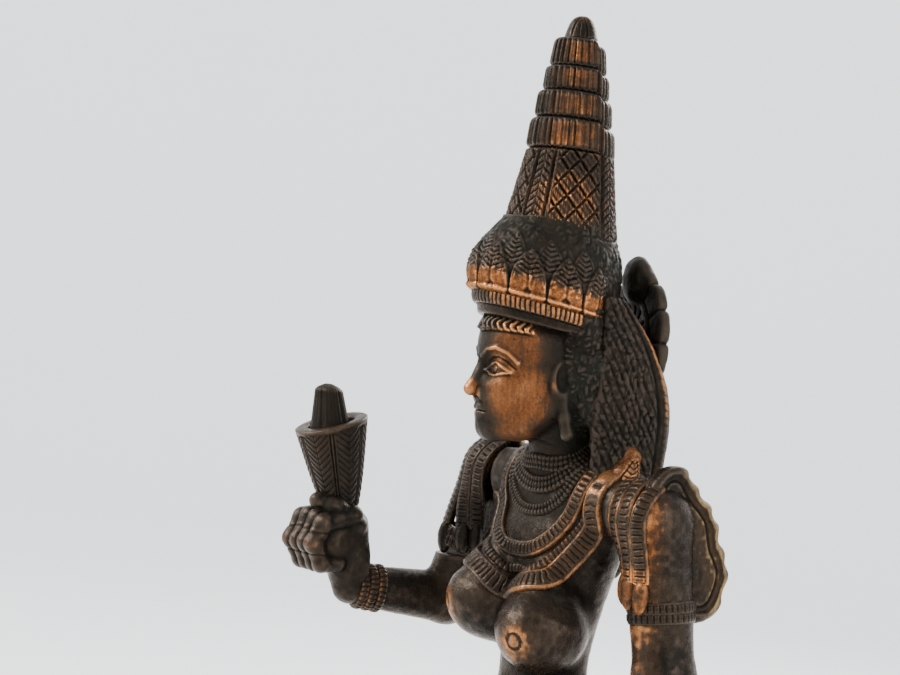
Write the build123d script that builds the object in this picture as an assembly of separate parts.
from build123d import *
import math
import os

# Standing goddess figure in cast brass on a lotus pedestal, as a bench assembly of its castings.
#
# Millimetres, +Z up. The origin is the centre of the plinth's underside, the figure faces -Y, and
# her left side is +X. Each casting, applied ornament, dowel and fastener is a node of its own.

# Driving dimensions
PLINTH_W = 88.0
PLINTH_D = 76.0
PLINTH_H = 18.0
LOTUS_LOWER_H = 10.0
LOTUS_UPPER_H = 12.0
LOTUS_R = 34.0
FACE = 24.0  # hairline to chin, the module of the figure
FIGURE_H = 8.67 * FACE  # sole to hairline
CROWN_H = 57.0  # hairline to the tip of the crown
WALL = 3.0
TOP_T = 4.0  # the plinth's top and the lotus seat
PETALS = 14
HOLLOW_IN = 15.0  # rim of the lotus to its hollow

SOLE_Z = PLINTH_H + LOTUS_LOWER_H + LOTUS_UPPER_H
HAIRLINE_Z = SOLE_Z + FIGURE_H
CHIN_Z = HAIRLINE_Z - FACE
NECK_Z = CHIN_Z - FACE / 8  # joint of head and torso
NIPPLE_Z = CHIN_Z - 1.42 * FACE
SHOULDER_Z = NECK_Z - FACE / 4
WAIST_Z = NIPPLE_Z - FACE / 3
HIP_JOINT_Z = WAIST_Z - 0.92 * FACE  # joint of torso and lower body, hidden under the girdle
HIP_Z = HIP_JOINT_Z - FACE / 2
KNEE_Z = SOLE_Z + 2.17 * FACE
ANKLE_Z = SOLE_Z + 0.42 * FACE
CROWN_TIP_Z = HAIRLINE_Z + CROWN_H

HEAD_Y = -6.0
HEAD_TURN = -14.0  # degrees about +Z, towards her right
CROWN_Y = -4.0
BAND_PITCH = 12.0  # degrees that the head bands drop towards the back

SCREW_R = 1.5
SCREW_HEAD_R = 2.8
SCREW_PCD_R = 24.0
BOSS_R = 4.0
CLEARANCE = 0.2
TENON_R = 2.5
DOWEL_R = 1.5

# Stations of the body: centre x, centre y, z, half width, half depth
BODY = [
    (3.4, 1.0, HIP_Z - 3, 20.8, 13.6),
    (3.0, 0.5, HIP_JOINT_Z, 17.6, 11.8),
    (2.2, 0.0, HIP_JOINT_Z + 6, 14.6, 10.0),
    (1.6, -0.2, HIP_JOINT_Z + 13, 12.0, 8.6),
    (0.8, 0.0, WAIST_Z, 10.3, 7.0),
    (-0.2, 0.0, NIPPLE_Z + 4, 14.0, 8.6),
    (-0.4, 1.5, SHOULDER_Z - 7, 19.0, 9.4),
    (-0.2, 3.0, SHOULDER_Z, 22.5, 7.6),
    (0.0, 2.6, SHOULDER_Z + 4, 13.0, 6.6),
    (0.0, 1.5, NECK_Z, 7.2, 6.6),
]

# Joints of the limbs: x, y, z, radius
LEFT_ARM = [
    (26.5, 4.0, SHOULDER_Z - 2, 6.6),
    (30.0, 6.8, WAIST_Z + 2, 5.9),
    (34.0, 4.5, WAIST_Z - 25, 3.8),
]
RIGHT_ARM = [
    (-26.5, 4.0, SHOULDER_Z + 2, 6.2),
    (-32.0, -1.5, NIPPLE_Z + 1, 5.3),
    (-36.0, -21.5, NIPPLE_Z + 2, 3.9),
]
LEFT_LEG = [
    (12.0, 0.8, HIP_Z - 14, 11.6),
    (11.0, -2.5, KNEE_Z, 7.4),
    (11.0, 0.0, KNEE_Z - 16, 7.0),
    (11.0, 3.0, ANKLE_Z, 4.6),
]
RIGHT_LEG = [
    (-6.0, 0.8, HIP_Z - 14, 11.6),
    (-9.5, -6.0, KNEE_Z, 7.4),
    (-10.5, -3.0, KNEE_Z - 16, 6.9),
    (-12.0, -1.0, ANKLE_Z, 4.6),
]
HAND = 0.75 * FACE  # wrist to fingertips
BUD_H = 15.0
BUD_R = 7.0
BUD_TIP_H = 10.0


def egg(centre, radii):
    """Ellipsoid."""
    return Pos(*centre) * scale(Sphere(1), by=radii)


def stack(stations):
    """Smooth solid through horizontal ellipses."""
    return loft([Plane(origin=(x, y, z)) * Ellipse(rx, ry) for x, y, z, rx, ry in stations])


def tapered(start, end, extra=0.0):
    """Cone frustum from one limb joint to the next, its radii grown by extra."""
    a, b = Vector(*start[:3]), Vector(*end[:3])
    along = (b - a).normalized()
    ends = ((a, start[3]), (b, end[3]))
    return loft([Plane(origin=p, z_dir=along) * Circle(r + extra) for p, r in ends])


def limb(joints):
    """Tapered segments with a ball at each joint, a little proud of them."""
    proud = 0.15
    solid = Pos(*joints[0][:3]) * Sphere(joints[0][3] + proud)
    for start, end in zip(joints, joints[1:]):
        solid += tapered(start, end)
        solid += Pos(*end[:3]) * Sphere(end[3] + proud)
    return solid


def between(start, end, share):
    """The limb joint that lies at that share of the way from start to end."""
    return tuple(a + (b - a) * share for a, b in zip(start, end))


def cuff(start, end, low, high, extra):
    """Ring round a limb segment between two shares of its length, solid until it is seated."""
    return tapered(between(start, end, low), between(start, end, high), extra)


def rod(start, end, radius):
    """Plain cylinder from one point to another."""
    return tapered((*start, radius), (*end, radius))


def largest(shape):
    return max(shape.solids(), key=lambda s: s.volume)


def seat(piece, *neighbours):
    """The piece cut back to fit against what it is brazed to."""
    box = piece.bounding_box()
    for other in neighbours:
        near = other.bounding_box()
        low, high = tuple(box.min), tuple(box.max)
        if all(low[i] < tuple(near.max)[i] and tuple(near.min)[i] < high[i] for i in range(3)):
            piece = piece - other
    return largest(piece)


def turned(piece):
    """The piece carried round with the head."""
    return Rot(0, 0, HEAD_TURN) * piece


def ribbon(points, widths, thickness):
    """Flat strap through points, whose width lies across X and whose thickness faces -Y."""
    sections = []
    for i, (point, width) in enumerate(zip(points, widths)):
        before, after = points[max(i - 1, 0)], points[min(i + 1, len(points) - 1)]
        along = (Vector(*after) - Vector(*before)).normalized()
        across = Vector(1, 0, 0)
        across = (across - along * across.dot(along)).normalized()
        plane = Plane(origin=point, x_dir=across, z_dir=along)
        sections.append(plane * Ellipse(width / 2, thickness / 2))
    return loft(sections)


def upright_ribbon(points, depths, thickness):
    """Flat strap whose width lies across Y and whose thickness faces X."""
    sections = []
    for i, (point, depth) in enumerate(zip(points, depths)):
        before, after = points[max(i - 1, 0)], points[min(i + 1, len(points) - 1)]
        along = (Vector(*after) - Vector(*before)).normalized()
        across = Vector(0, 1, 0)
        across = (across - along * across.dot(along)).normalized()
        plane = Plane(origin=point, x_dir=across, z_dir=along)
        sections.append(plane * Ellipse(depth / 2, thickness / 2))
    return loft(sections)


# Base: a hollow stepped plinth, a lotus in two castings, its screws

def plinth():
    """Rectangular stepped base, open underneath."""
    foot_h, cove_h, dado_h = 5.0, 3.0, 6.0
    cap_h = PLINTH_H - foot_h - cove_h - dado_h
    edge_r = 0.7
    inset = 16.0
    solid, z = None, 0.0
    for step_in, height in ((0, foot_h), (7, cove_h), (13, dado_h), (5, cap_h)):
        slab = Pos(0, 0, z + height / 2) * Box(PLINTH_W - step_in, PLINTH_D - step_in, height)
        slab = fillet(slab.edges(), edge_r)
        slab += Pos(0, 0, z + height / 2) * Box(PLINTH_W - inset, PLINTH_D - inset, height)
        solid = slab if solid is None else solid + slab
        z += height
    around = inset + 2 * WALL
    cavity_h = PLINTH_H - TOP_T
    solid -= Pos(0, 0, cavity_h / 2) * Box(PLINTH_W - around, PLINTH_D - around, cavity_h)
    for x, y in screw_places():
        solid -= Pos(x, y, PLINTH_H) * Cylinder(SCREW_R + CLEARANCE, 20)
    nut_hole_r = 16.0
    solid -= Pos(0, 0, PLINTH_H) * Cylinder(nut_hole_r, 20)
    return largest(solid)


def screw_places():
    angles = [math.radians(45 + 90 * i) for i in range(4)]
    return [(SCREW_PCD_R * math.cos(a), SCREW_PCD_R * math.sin(a)) for a in angles]


def petal_notches(z, height, radius):
    """Upright round cutters that part the rim of a lotus casting into petals."""
    cutters = []
    for i in range(PETALS):
        a = 2 * math.pi * (i + 0.5) / PETALS
        cutters.append(Pos(radius * math.cos(a), radius * math.sin(a), z + height / 2)
                       * Cylinder(1.6, height + 2))
    return cutters


def lotus_lower():
    """Row of petals turned down, hollow, with a boss for each base screw."""
    z0, z1 = PLINTH_H, PLINTH_H + LOTUS_LOWER_H
    with BuildSketch(Plane.XZ) as profile:
        with BuildLine():
            l1 = Line((0, z0), (LOTUS_R, z0))
            l2 = Line(l1 @ 1, (LOTUS_R, z0 + 1.5))
            l3 = Spline(l2 @ 1, (LOTUS_R - 2.2, z0 + 6), (LOTUS_R - 8, z1),
                        tangents=[(0, 1), (-1, 0.25)])
            l4 = Line(l3 @ 1, (0, z1))
            Line(l4 @ 1, (0, z0))
        make_face()
    solid = revolve(profile.sketch, Axis.Z)
    solid -= Pos(0, 0, z0 + LOTUS_LOWER_H / 2) * Cylinder(LOTUS_R - HOLLOW_IN, LOTUS_LOWER_H + 1)
    for x, y in screw_places():
        solid += Pos(x, y, (z0 + z1) / 2) * Cylinder(BOSS_R, LOTUS_LOWER_H)
        solid -= Pos(x, y, (z0 + z1) / 2) * Cylinder(SCREW_R + CLEARANCE, LOTUS_LOWER_H + 1)
    return largest(solid - petal_notches(z0, LOTUS_LOWER_H, LOTUS_R + 0.3))


def lotus_upper():
    """Row of petals turned up round the flat seat that the figure stands on."""
    z0, z1 = PLINTH_H + LOTUS_LOWER_H, SOLE_Z
    with BuildSketch(Plane.XZ) as profile:
        with BuildLine():
            l1 = Line((0, z0), (LOTUS_R - 8, z0))
            l2 = Spline(l1 @ 1, (LOTUS_R - 3.4, z0 + 5), (LOTUS_R - 1, z0 + 9),
                        tangents=[(1, 0.25), (0.2, 1)])
            l3 = Line(l2 @ 1, (LOTUS_R - 2.5, z1 - 2))
            l4 = Line(l3 @ 1, (LOTUS_R - 4, z1))
            l5 = Line(l4 @ 1, (0, z1))
            Line(l5 @ 1, (0, z0))
        make_face()
    solid = revolve(profile.sketch, Axis.Z)
    hollow_h = LOTUS_UPPER_H - TOP_T
    solid -= Pos(0, 0, z0 + hollow_h / 2) * Cylinder(LOTUS_R - HOLLOW_IN, hollow_h)
    for x, y in screw_places():
        solid += Pos(x, y, z0 + hollow_h / 2) * Cylinder(BOSS_R, hollow_h)
        solid -= Pos(x, y, z0 + hollow_h / 2) * Cylinder(SCREW_R, hollow_h)
    for x, y in tenon_places():
        solid -= Pos(x, y, z1) * Cylinder(TENON_R, 20)
    return largest(solid - petal_notches(z0, LOTUS_UPPER_H, LOTUS_R - 0.2))


def base_screws():
    """Four pan-head screws that hold plinth and lotus together from below."""
    underside = PLINTH_H - TOP_T
    head_h, slot_w, slot_h, bite = 2.4, 0.8, 0.8, 7.0
    shank_h = TOP_T + LOTUS_LOWER_H + bite
    screws = []
    for x, y in screw_places():
        screw = Pos(x, y, underside - head_h / 2) * Cylinder(SCREW_HEAD_R, head_h)
        screw = fillet(screw.edges().group_by(Axis.Z)[0], 0.8)
        screw += Pos(x, y, underside + shank_h / 2) * Cylinder(SCREW_R, shank_h)
        screw -= Pos(x, y, underside - head_h) * Box(2 * SCREW_HEAD_R + 1, slot_w, 2 * slot_h)
        screws.append(largest(screw))
    return Compound(screws)


def tenon_places():
    return [(LEFT_LEG[-1][0], LEFT_LEG[-1][1] - 3), (RIGHT_LEG[-1][0], RIGHT_LEG[-1][1] - 3)]


def tenon_rings(radius, height, z):
    """A ring on each foot tenon, under the lotus seat."""
    rings = []
    for x, y in tenon_places():
        rings.append(largest(Pos(x, y, z - height / 2)
                             * (Cylinder(radius, height) - Cylinder(TENON_R, height + 1))))
    return rings


def tenon_nuts(z, height):
    nuts = []
    for x, y in tenon_places():
        nut = Pos(x, y, z - height) * extrude(RegularPolygon(4.6, 6), height)
        nuts.append(largest(nut - Pos(x, y, z - height / 2) * Cylinder(TENON_R, height + 1)))
    return Compound(nuts)


# Figure

def foot(leg, yaw):
    """Foot, flat under the sole, pointing forwards."""
    x, y, z, _ = leg[-1]
    length, width, height = 11.5, 4.9, 4.4
    sole = egg((0, 0, 0), (width, length, height))
    heel = egg((0, 8.0, 1.5), (4.2, 4.6, 5.5))
    shape = Pos(x, y - 6.0, SOLE_Z + 2.2) * Rot(0, 0, yaw) * (sole + heel)
    return shape - Pos(x, y, SOLE_Z - 10) * Box(80, 80, 20)


def lower_body():
    """Hips, legs and feet in one casting, with a tenon under each foot."""
    x, y, z, half_width, half_depth = BODY[0]
    seat_h = 14.5
    solid = stack(BODY[:2]) + egg((x, y, z), (half_width, half_depth, seat_h))
    for leg, yaw in ((LEFT_LEG, 6), (RIGHT_LEG, -14)):
        solid += limb(leg)
        solid += foot(leg, yaw)
    for x, y in tenon_places():
        solid += rod((x, y, SOLE_Z - 11), (x, y, SOLE_Z + 3), TENON_R)
    return largest(solid - waist_dowel())


def waist_dowel():
    return rod((2.6, 0.3, HIP_JOINT_Z - 8), (2.6, 0.3, HIP_JOINT_Z + 8), 2.5)


def neck_dowel():
    return rod((0, 1.5, NECK_Z - 7), (0, 1.5, NECK_Z + 6), 2.0)


def shoulder_dowel(arm):
    x, y, z, _ = arm[0]
    side = math.copysign(1, x)
    return rod((x - side * 10, y, z), (x, y, z), DOWEL_R)


def torso(arms, dowels):
    """Trunk from the hip joint to the neck, with a socket for each shoulder."""
    solid = stack(BODY[1:])
    breast_r = 0.34 * FACE
    for side in (-1, 1):
        drop = 1.8 * side
        solid += Pos(side * 9.0 - 0.3, -5.5, NIPPLE_Z + 1.5 - drop) * Sphere(breast_r)
        solid += Pos(side * 10.8 - 0.3, -5.5 - breast_r, NIPPLE_Z - drop) * Sphere(1.0)
    solid += egg((1.8, -8.8, HIP_JOINT_Z + 10), (6.5, 2.5, 6.5))
    return seat(solid, *arms, *dowels)


def head(dowels):
    """Skull, face and neck, with the crown's seat cut flat on top."""
    skull = egg((0, HEAD_Y + 2, HAIRLINE_Z - 9), (9.8, 12.0, 12.5))
    face = egg((0, HEAD_Y - 3.5, CHIN_Z + 0.48 * FACE), (8.3, 9.4, 0.5 * FACE))
    chin = egg((0, HEAD_Y - 5.6, CHIN_Z + 3.6), (4.4, 4.8, 3.6))
    solid = skull + face + chin
    nose_z = CHIN_Z + FACE / 3
    nose = loft([Plane(origin=(0, HEAD_Y - 11.6, nose_z)) * Ellipse(2.1, 2.9),
                 Plane(origin=(0, HEAD_Y - 10.6, nose_z + FACE / 3)) * Ellipse(0.9, 1.9)])
    solid += nose
    solid += egg((0, HEAD_Y - 11.2, nose_z - 3.4), (3.0, 1.6, 1.3))
    for side in (-1, 1):
        eye = (side * 3.9, HEAD_Y - 9.6, CHIN_Z + 0.6 * FACE)
        solid += egg(eye, (2.4, 2.2, 1.3))
        solid += egg((side * 9.4, HEAD_Y + 5, CHIN_Z + 0.45 * FACE), (1.8, 4.0, 7.0))
        solid += egg((side * 9.8, HEAD_Y + 5.6, CHIN_Z + 2.0), (1.5, 1.9, 5.0))
    solid = turned(solid)
    solid += stack([(0, 1.5, NECK_Z, 7.2, 6.6), (-0.2, 0, NECK_Z + 5, 6.6, 6.2),
                    (-0.4, -2, NECK_Z + 12, 6.8, 6.8)])
    solid -= Pos(0, 0, NECK_Z - 10) * Box(80, 80, 20)
    return seat(solid, *dowels)


def tilted_slab(z, height):
    """Wide slab over the head, dropping towards the back, to trim the head bands with."""
    slab = Pos(0, 0, height / 2) * Box(90, 90, height)
    return turned(Pos(0, HEAD_Y, z) * Rot(-BAND_PITCH, 0, 0) * slab)


def head_shell(grow):
    """The dome of hair and cap over the brow, grown all round."""
    rx, ry, rz = 12.0 + grow, 14.0 + grow, 15.0 + grow
    return turned(egg((0, HEAD_Y + 0.5, HAIRLINE_Z - 0.5), (rx, ry, rz)))


def crown_pieces():
    """Round tiers, each with a spigot that the next one is brazed over: name, solid."""
    drum_z = HAIRLINE_Z + 14.0
    tiers = [
        ("crown_drum", drum_z, 17.0, 11.0, 7.8),
        ("crown_tier_1", drum_z + 17.0, 6.0, 8.5, 7.9),
        ("crown_tier_2", drum_z + 23.0, 5.2, 7.4, 6.9),
        ("crown_tier_3", drum_z + 28.2, 4.7, 6.4, 6.0),
        ("crown_tier_4", drum_z + 32.9, 5.4, 5.6, 4.6),
    ]
    spigot_r, spigot_h = 2.0, 1.6
    made = []
    for name, z, height, low_r, high_r in tiers:
        ring = Pos(0, CROWN_Y, z + height / 2) * Cone(low_r, high_r, height)
        if name != "crown_drum":
            ring = fillet(ring.edges().filter_by(GeomType.CIRCLE), 0.9)
        ring += Pos(0, CROWN_Y, z + height + spigot_h / 2) * Cylinder(spigot_r, spigot_h)
        ring -= Pos(0, CROWN_Y, z + spigot_h / 2) * Cylinder(spigot_r, spigot_h)
        made.append((name, turned(ring)))
    tip_z = drum_z + 38.3
    tip_h = CROWN_TIP_Z - tip_z
    tip = Pos(0, CROWN_Y, tip_z + tip_h / 2) * Cone(3.7, 2.3, tip_h)
    tip = fillet(tip.edges().group_by(Axis.Z)[-1], 1.4)
    tip -= Pos(0, CROWN_Y, tip_z + spigot_h / 2) * Cylinder(spigot_r, spigot_h)
    made.append(("crown_finial", turned(tip)))
    return made, drum_z, (spigot_r, spigot_h)


def crown_cap(neighbours, drum_z, spigot):
    """Leafy dome between the brow band and the drum of the crown."""
    shell = head_shell(0.6) - tilted_slab(HAIRLINE_Z - 40 + 3.2, 40)
    shell += turned(Pos(0, CROWN_Y, HAIRLINE_Z + 8) * Cone(13.0, 11.2, 12))
    shell -= turned(Pos(0, CROWN_Y, drum_z + 20) * Box(60, 60, 40))
    radius, height = spigot
    shell += turned(Pos(0, CROWN_Y, drum_z + height / 2) * Cylinder(radius, height))
    return seat(shell, *neighbours)


def brow_band(neighbours):
    """Ticked band round the brow, under the cap."""
    band = head_shell(0.9) & tilted_slab(HAIRLINE_Z, 3.2)
    return seat(band, *neighbours)


def halo():
    """Wheel behind the head, its rim scalloped into petals, with a boss at the centre."""
    radius, thickness, petals = 16.5, 2.8, 12
    wheel = Cylinder(radius - 1.6, thickness)
    for i in range(petals):
        a = 2 * math.pi * i / petals
        reach = radius - 3.6
        wheel += Pos(reach * math.cos(a), reach * math.sin(a), 0) * Cylinder(3.6, thickness)
    wheel += Cylinder(4.0, thickness + 2.4)
    placed = Pos(0, 15.6, HAIRLINE_Z - 4.5) * Rot(90, 0, 0) * wheel
    return turned(placed)


def halo_peg():
    return turned(rod((0, 3.0, HAIRLINE_Z - 4.5), (0, 16.0, HAIRLINE_Z - 4.5), DOWEL_R))


def back_hair(neighbours):
    """Locks that fall from the nape between the shoulder blades."""
    fall = ribbon([(-0.8, 6.0, CHIN_Z + 10), (-0.4, 9.5, CHIN_Z), (0, 12.4, SHOULDER_Z),
                   (0.2, 12.6, SHOULDER_Z - 14)], [15, 18, 22, 15], 5.0)
    return seat(fall, *neighbours)


def side_lock(side, neighbours):
    """Thick lock that bows out behind the ear and comes down on the shoulder."""
    points = [(side * 11.0, 4.0, HAIRLINE_Z + 2), (side * 13.2, 8.0, HAIRLINE_Z - 5),
              (side * 14.4, 10.4, HAIRLINE_Z - 13), (side * 14.6, 10.2, HAIRLINE_Z - 22),
              (side * 14.0, 7.4, SHOULDER_Z + 6.5)]
    lock = turned(upright_ribbon(points, [4.0, 5.6, 6.4, 6.2, 4.6], 3.4))
    return seat(lock, *neighbours)


def earring(side, neighbours):
    """Long bud-shaped ear pendant that rests on the shoulder."""
    drop = turned(egg((side * 16.0, 3.4, SHOULDER_Z + 7.4), (2.1, 2.6, 4.4)))
    return seat(drop, *neighbours)


def right_hand(neighbours):
    """Raised fist whose curled fingers hold the stem of a bud."""
    x, y, z, _ = RIGHT_ARM[-1]
    palm = egg((x, y - 1.0, z + 8.5), (3.6, 4.6, 9.5))
    for i in range(4):
        palm += rod((x - 0.5, y - 3, z + 5.2 + 2.7 * i), (x - 1.0, y - 9.5, z + 4.6 + 2.7 * i), 1.6)
        palm += Pos(x - 1.0, y - 9.5, z + 4.6 + 2.7 * i) * Sphere(1.75)
    palm += egg((x + 2.4, y - 5.0, z + 11.0), (1.7, 4.0, 1.8))
    return seat(palm, *neighbours)


def left_hand(neighbours):
    """Hand hanging loosely, fingers together and slightly bent."""
    x, y, z, _ = LEFT_ARM[-1]
    palm = egg((x + 0.8, y - 1.6, z - 6.5), (2.6, 4.2, 6.5))
    for i in range(4):
        knuckle = (x + 1.6 + 0.1 * i, y - 4.4 + 2.0 * i, z - 10.5)
        length = HAND - (11.0 if i in (1, 2) else 12.5)
        tip = (knuckle[0] + 1.0, knuckle[1] - 2.2, knuckle[2] - length)
        palm += rod(knuckle, tip, 1.1)
        palm += Pos(*tip) * Sphere(1.15) + Pos(*knuckle) * Sphere(1.3)
    thumb_tip = (x - 0.4, y - 7.4, z - 11.0)
    palm += rod((x + 0.2, y - 3.6, z - 4.5), thumb_tip, 1.2) + Pos(*thumb_tip) * Sphere(1.25)
    return seat(palm, *neighbours)


def bud(neighbours):
    """Lotus bud in two castings: the calyx cup and the tip that stands in it."""
    x, y = RIGHT_ARM[-1][0] - 0.5, RIGHT_ARM[-1][1] - 7.5
    z = RIGHT_ARM[-1][2] + 16.0
    cup = Pos(x, y, z + BUD_H / 2) * Cone(3.4, BUD_R, BUD_H)
    cup = fillet(cup.edges().group_by(Axis.Z)[-1], 0.6)
    socket_h = 3.0
    cup -= Pos(x, y, z + BUD_H - socket_h / 2) * Cylinder(3.6, socket_h)
    tip_h = BUD_TIP_H + socket_h
    tip = Pos(x, y, z + BUD_H - socket_h + tip_h / 2) * Cone(3.6, 1.9, tip_h)
    tip = fillet(tip.edges().group_by(Axis.Z)[-1], 1.2)
    peg = rod((x, y, z - 4.0), (x, y, z + 5.0), 1.0)
    return seat(cup, peg, *neighbours), largest(tip), largest(peg)


# Ornaments

def necklace(front_y, front_z, half_width, thickness, neighbours):
    """Loop that lies on the collar bones and dips to the chest."""
    back_y, back_z = 9.5, SHOULDER_Z + 4
    centre_y, centre_z = (front_y + back_y) / 2, (front_z + back_z) / 2
    pitch = math.degrees(math.atan2(back_z - front_z, back_y - front_y))
    half_length = math.hypot(back_y - front_y, back_z - front_z) / 2
    loop = scale(Torus(half_width, thickness), by=(1, half_length / half_width, 1))
    return seat(Pos(0, centre_y, centre_z) * Rot(pitch, 0, 0) * loop, *neighbours)


def shoulder_tassel(arm, neighbours):
    """Ticked strips that hang from the shoulder over the front of the upper arm."""
    x, y, z, _ = arm[0]
    side = math.copysign(1, x)
    points = [(x - side * 2.2, y - 3.5, z + 6.5), (x - side * 2.0, y - 7.0, z + 1),
              (x - side * 1.4, y - 7.0, z - 7), (x - side * 1.0, y - 5.6, z - 13)]
    return seat(ribbon(points, [6.5, 8.0, 7.5, 4.5], 3.2), *neighbours)


def shoulder_lappet(arm, neighbours):
    """Flaring plate of hair ends behind the shoulder, down to the middle of the upper arm."""
    x, y, z, _ = arm[0]
    side = math.copysign(1, x)
    points = [(x - side * 3.0, y + 3.0, z + 7.5), (x + side * 0.5, y + 5.0, z + 1.0),
              (x + side * 2.5, y + 6.5, z - 9.0), (x + side * 3.0, y + 7.5, z - 16.0)]
    return seat(upright_ribbon(points, [8.0, 13.0, 13.5, 8.0], 3.0), *neighbours)


def girdle(neighbours):
    """Belt round the hips that covers the joint of torso and lower body."""
    belt = stack([(3.1, 0.6, HIP_JOINT_Z - 4.5, 20.4, 14.0), (3.0, 0.5, HIP_JOINT_Z + 3, 18.2, 12.6)])
    return seat(belt, *neighbours)


def girdle_clasp(neighbours):
    """Round plaque on the front of the belt."""
    clasp = rod((3.0, -10.0, HIP_JOINT_Z - 1.0), (3.0, -15.6, HIP_JOINT_Z - 1.0), 4.6)
    clasp = fillet(clasp.edges().group_by(Axis.Y)[0], 1.0)
    return seat(clasp, *neighbours)


def centre_pleat(neighbours):
    """Folded cloth that hangs below the clasp between the legs."""
    points = [(2.9, -13.6, HIP_JOINT_Z - 6.5), (2.2, -12.4, HIP_Z - 12),
              (1.0, -9.4, KNEE_Z + 10), (0.6, -7.2, KNEE_Z - 22)]
    return seat(ribbon(points, [6.5, 8.5, 9.5, 11.5], 3.2), *neighbours)


def hip_sash(side, neighbours):
    """Knotted sash end that flares from the hip."""
    x = 3.2 + side * 20.0
    points = [(x - side * 2.0, -1.0, HIP_JOINT_Z - 5), (x + side * 2.6, -2.0, HIP_JOINT_Z - 15),
              (x + side * 1.6, -2.6, HIP_Z - 22), (x - side * 3.5, -3.0, HIP_Z - 38)]
    return seat(upright_ribbon(points, [6.0, 9.0, 8.5, 6.0], 3.2), *neighbours)


def main():
    os.makedirs("parts", exist_ok=True)
    nodes = {}
    nodes["plinth"] = plinth()
    nodes["lotus_lower"] = lotus_lower()
    nodes["lotus_upper"] = lotus_upper()
    nodes["base_screws"] = base_screws()
    seat_floor_z = SOLE_Z - TOP_T
    washer_h, nut_h = 1.0, 3.2
    nodes["tenon_washers"] = Compound(tenon_rings(5.0, washer_h, seat_floor_z))
    nodes["tenon_nuts"] = tenon_nuts(seat_floor_z - washer_h, nut_h)

    waist, neck = waist_dowel(), neck_dowel()
    left_dowel, right_dowel = shoulder_dowel(LEFT_ARM), shoulder_dowel(RIGHT_ARM)
    peg = halo_peg()
    nodes["waist_dowel"], nodes["neck_dowel"] = waist, neck
    nodes["left_shoulder_dowel"], nodes["right_shoulder_dowel"] = left_dowel, right_dowel
    nodes["halo_peg"] = peg

    legs = nodes["lower_body"] = lower_body()
    left_arm = nodes["left_arm"] = seat(limb(LEFT_ARM), left_dowel)
    right_arm = nodes["right_upper_arm"] = seat(limb(RIGHT_ARM[:2]), right_dowel)
    forearm = nodes["right_forearm"] = seat(limb(RIGHT_ARM[1:]), right_arm)
    trunk = nodes["torso"] = torso([left_arm, right_arm], [waist, neck, left_dowel, right_dowel])
    skull = nodes["head"] = head([neck, peg])
    nodes["halo"] = seat(halo(), peg)

    crown, drum_z, spigot = crown_pieces()
    band = nodes["brow_band"] = brow_band([skull, peg])
    cap = nodes["crown_cap"] = crown_cap([skull, band], drum_z, spigot)
    for name, tier in crown:
        nodes[name] = largest(tier)

    body = [trunk, left_arm, right_arm, forearm, skull]
    hair = nodes["back_hair"] = back_hair([*body, band, cap, peg])
    for side, word in ((1, "left"), (-1, "right")):
        lock = nodes[word + "_side_lock"] = side_lock(side, [*body, band, cap, hair])
        ring = nodes[word + "_earring"] = earring(side, [*body, lock])
        body += [lock, ring]

    nodes["right_hand"] = right_hand([forearm])
    nodes["left_hand"] = left_hand([left_arm])
    nodes["bud_calyx"], nodes["bud_tip"], nodes["bud_peg"] = bud([nodes["right_hand"]])
    nodes["right_hand"] = seat(nodes["right_hand"], nodes["bud_peg"])

    loops = (("collar", -5.6, 1.0, 9.6, 1.5), ("middle_necklace", -7.2, -5.5, 13.0, 1.5),
             ("outer_necklace", -9.0, -13.0, 17.0, 1.7))
    for name, front_y, rise, half_width, thickness in loops:
        nodes[name] = necklace(front_y, SHOULDER_Z + rise, half_width, thickness, [*body, hair])
        body.append(nodes[name])
    for word, arm in (("left", LEFT_ARM), ("right", RIGHT_ARM)):
        tassel = nodes[word + "_shoulder_tassel"] = shoulder_tassel(arm, [*body, hair])
        nodes[word + "_shoulder_lappet"] = shoulder_lappet(arm, [*body, hair, tassel])
        upper = seat(cuff(arm[0], arm[1], 0.50, 0.60, 1.0), *body)
        hand = nodes[word + "_hand"]
        nodes[word + "_armlet"] = seat(upper, tassel, nodes[word + "_shoulder_lappet"])
        nodes[word + "_bangles"] = seat(cuff(arm[1], arm[2], 0.72, 0.96, 1.2), *body, hand)

    belt = nodes["girdle"] = girdle([trunk, legs])
    nodes["girdle_clasp"] = girdle_clasp([trunk, legs, belt])
    nodes["centre_pleat"] = centre_pleat([legs])
    for side, word in ((1, "left"), (-1, "right")):
        nodes[word + "_hip_sash"] = hip_sash(side, [legs, trunk, belt])
    for word, leg in (("left", LEFT_LEG), ("right", RIGHT_LEG)):
        nodes[word + "_anklet"] = seat(cuff(leg[2], leg[3], 0.82, 0.96, 1.4), legs)

    for name, shape in nodes.items():
        export_step(shape, f"parts/{name}.step")


main()
